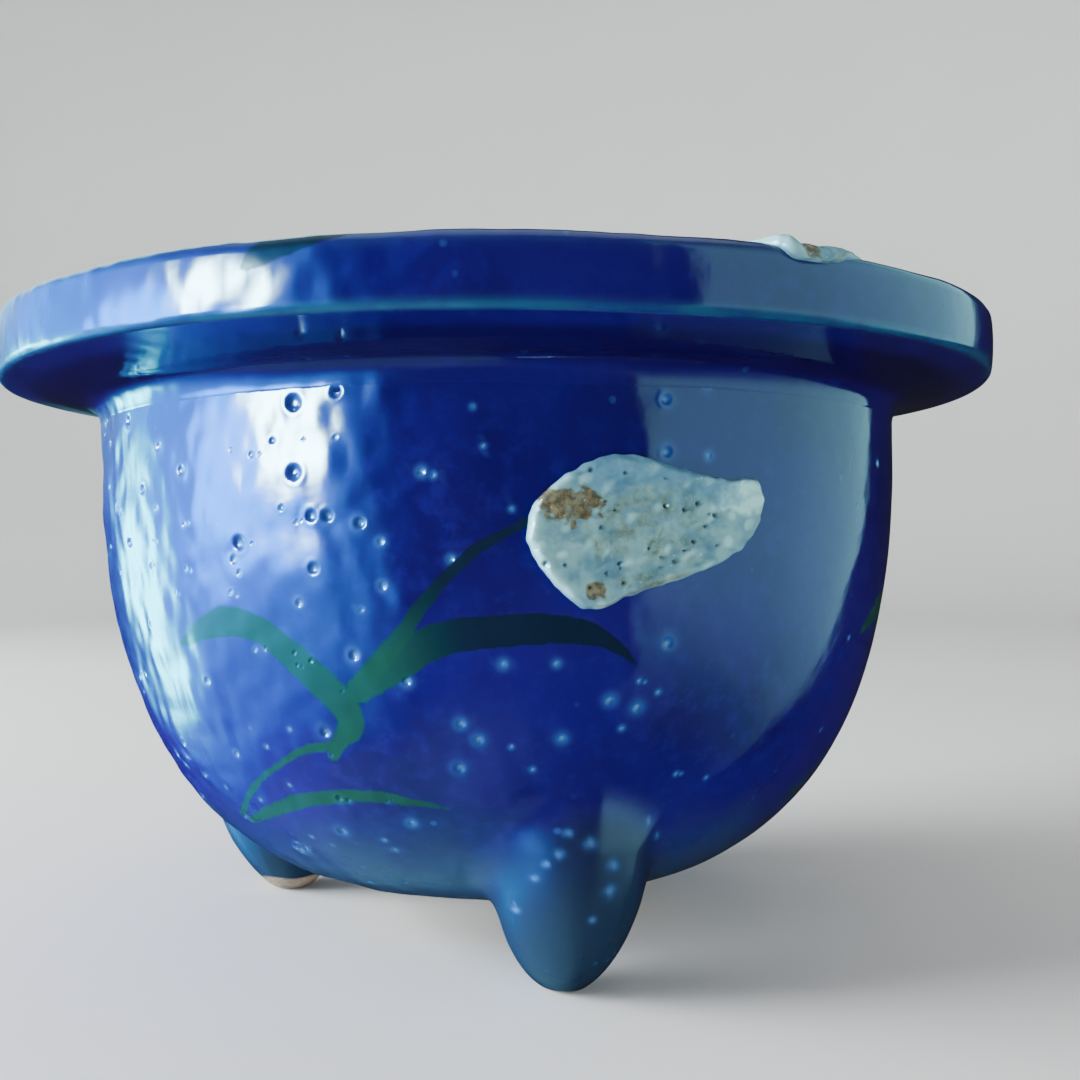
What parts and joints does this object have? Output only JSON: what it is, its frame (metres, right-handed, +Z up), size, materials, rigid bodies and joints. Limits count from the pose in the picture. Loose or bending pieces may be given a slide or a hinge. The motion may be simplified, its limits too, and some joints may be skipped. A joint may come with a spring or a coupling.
{
  "type": "bonsai pot",
  "caption": "Round glazed bonsai pot with a wide flat rim, a deep rounded bowl, lobed feet, raised slip blossoms and a screened drain hole.",
  "frame": {"origin": "on the pot's axis, on the surface that the three feet stand on", "axes": "+Z up along the pot's axis; -Y is the decorated front"},
  "size_m": [0.15, 0.15, 0.0903],
  "materials": {
    "cobalt_glaze": "polished",
    "bare_clay": "matte",
    "slip_enamel": "satin",
    "screen_plastic": "satin",
    "clip_aluminium": "satin"
  },
  "bodies": {
    "root": {"bowl_wall": "cobalt_glaze", "bowl_floor": "bare_clay", "rim_flange": "cobalt_glaze", "foot_front": "cobalt_glaze", "foot_right": "cobalt_glaze", "foot_left": "cobalt_glaze", "blossom_front": "slip_enamel", "blossom_right": "slip_enamel", "blossom_left": "slip_enamel", "blossom_rim": "slip_enamel", "drain_screen": "screen_plastic", "screen_clip": "clip_aluminium"}
  },
  "joints": []
}
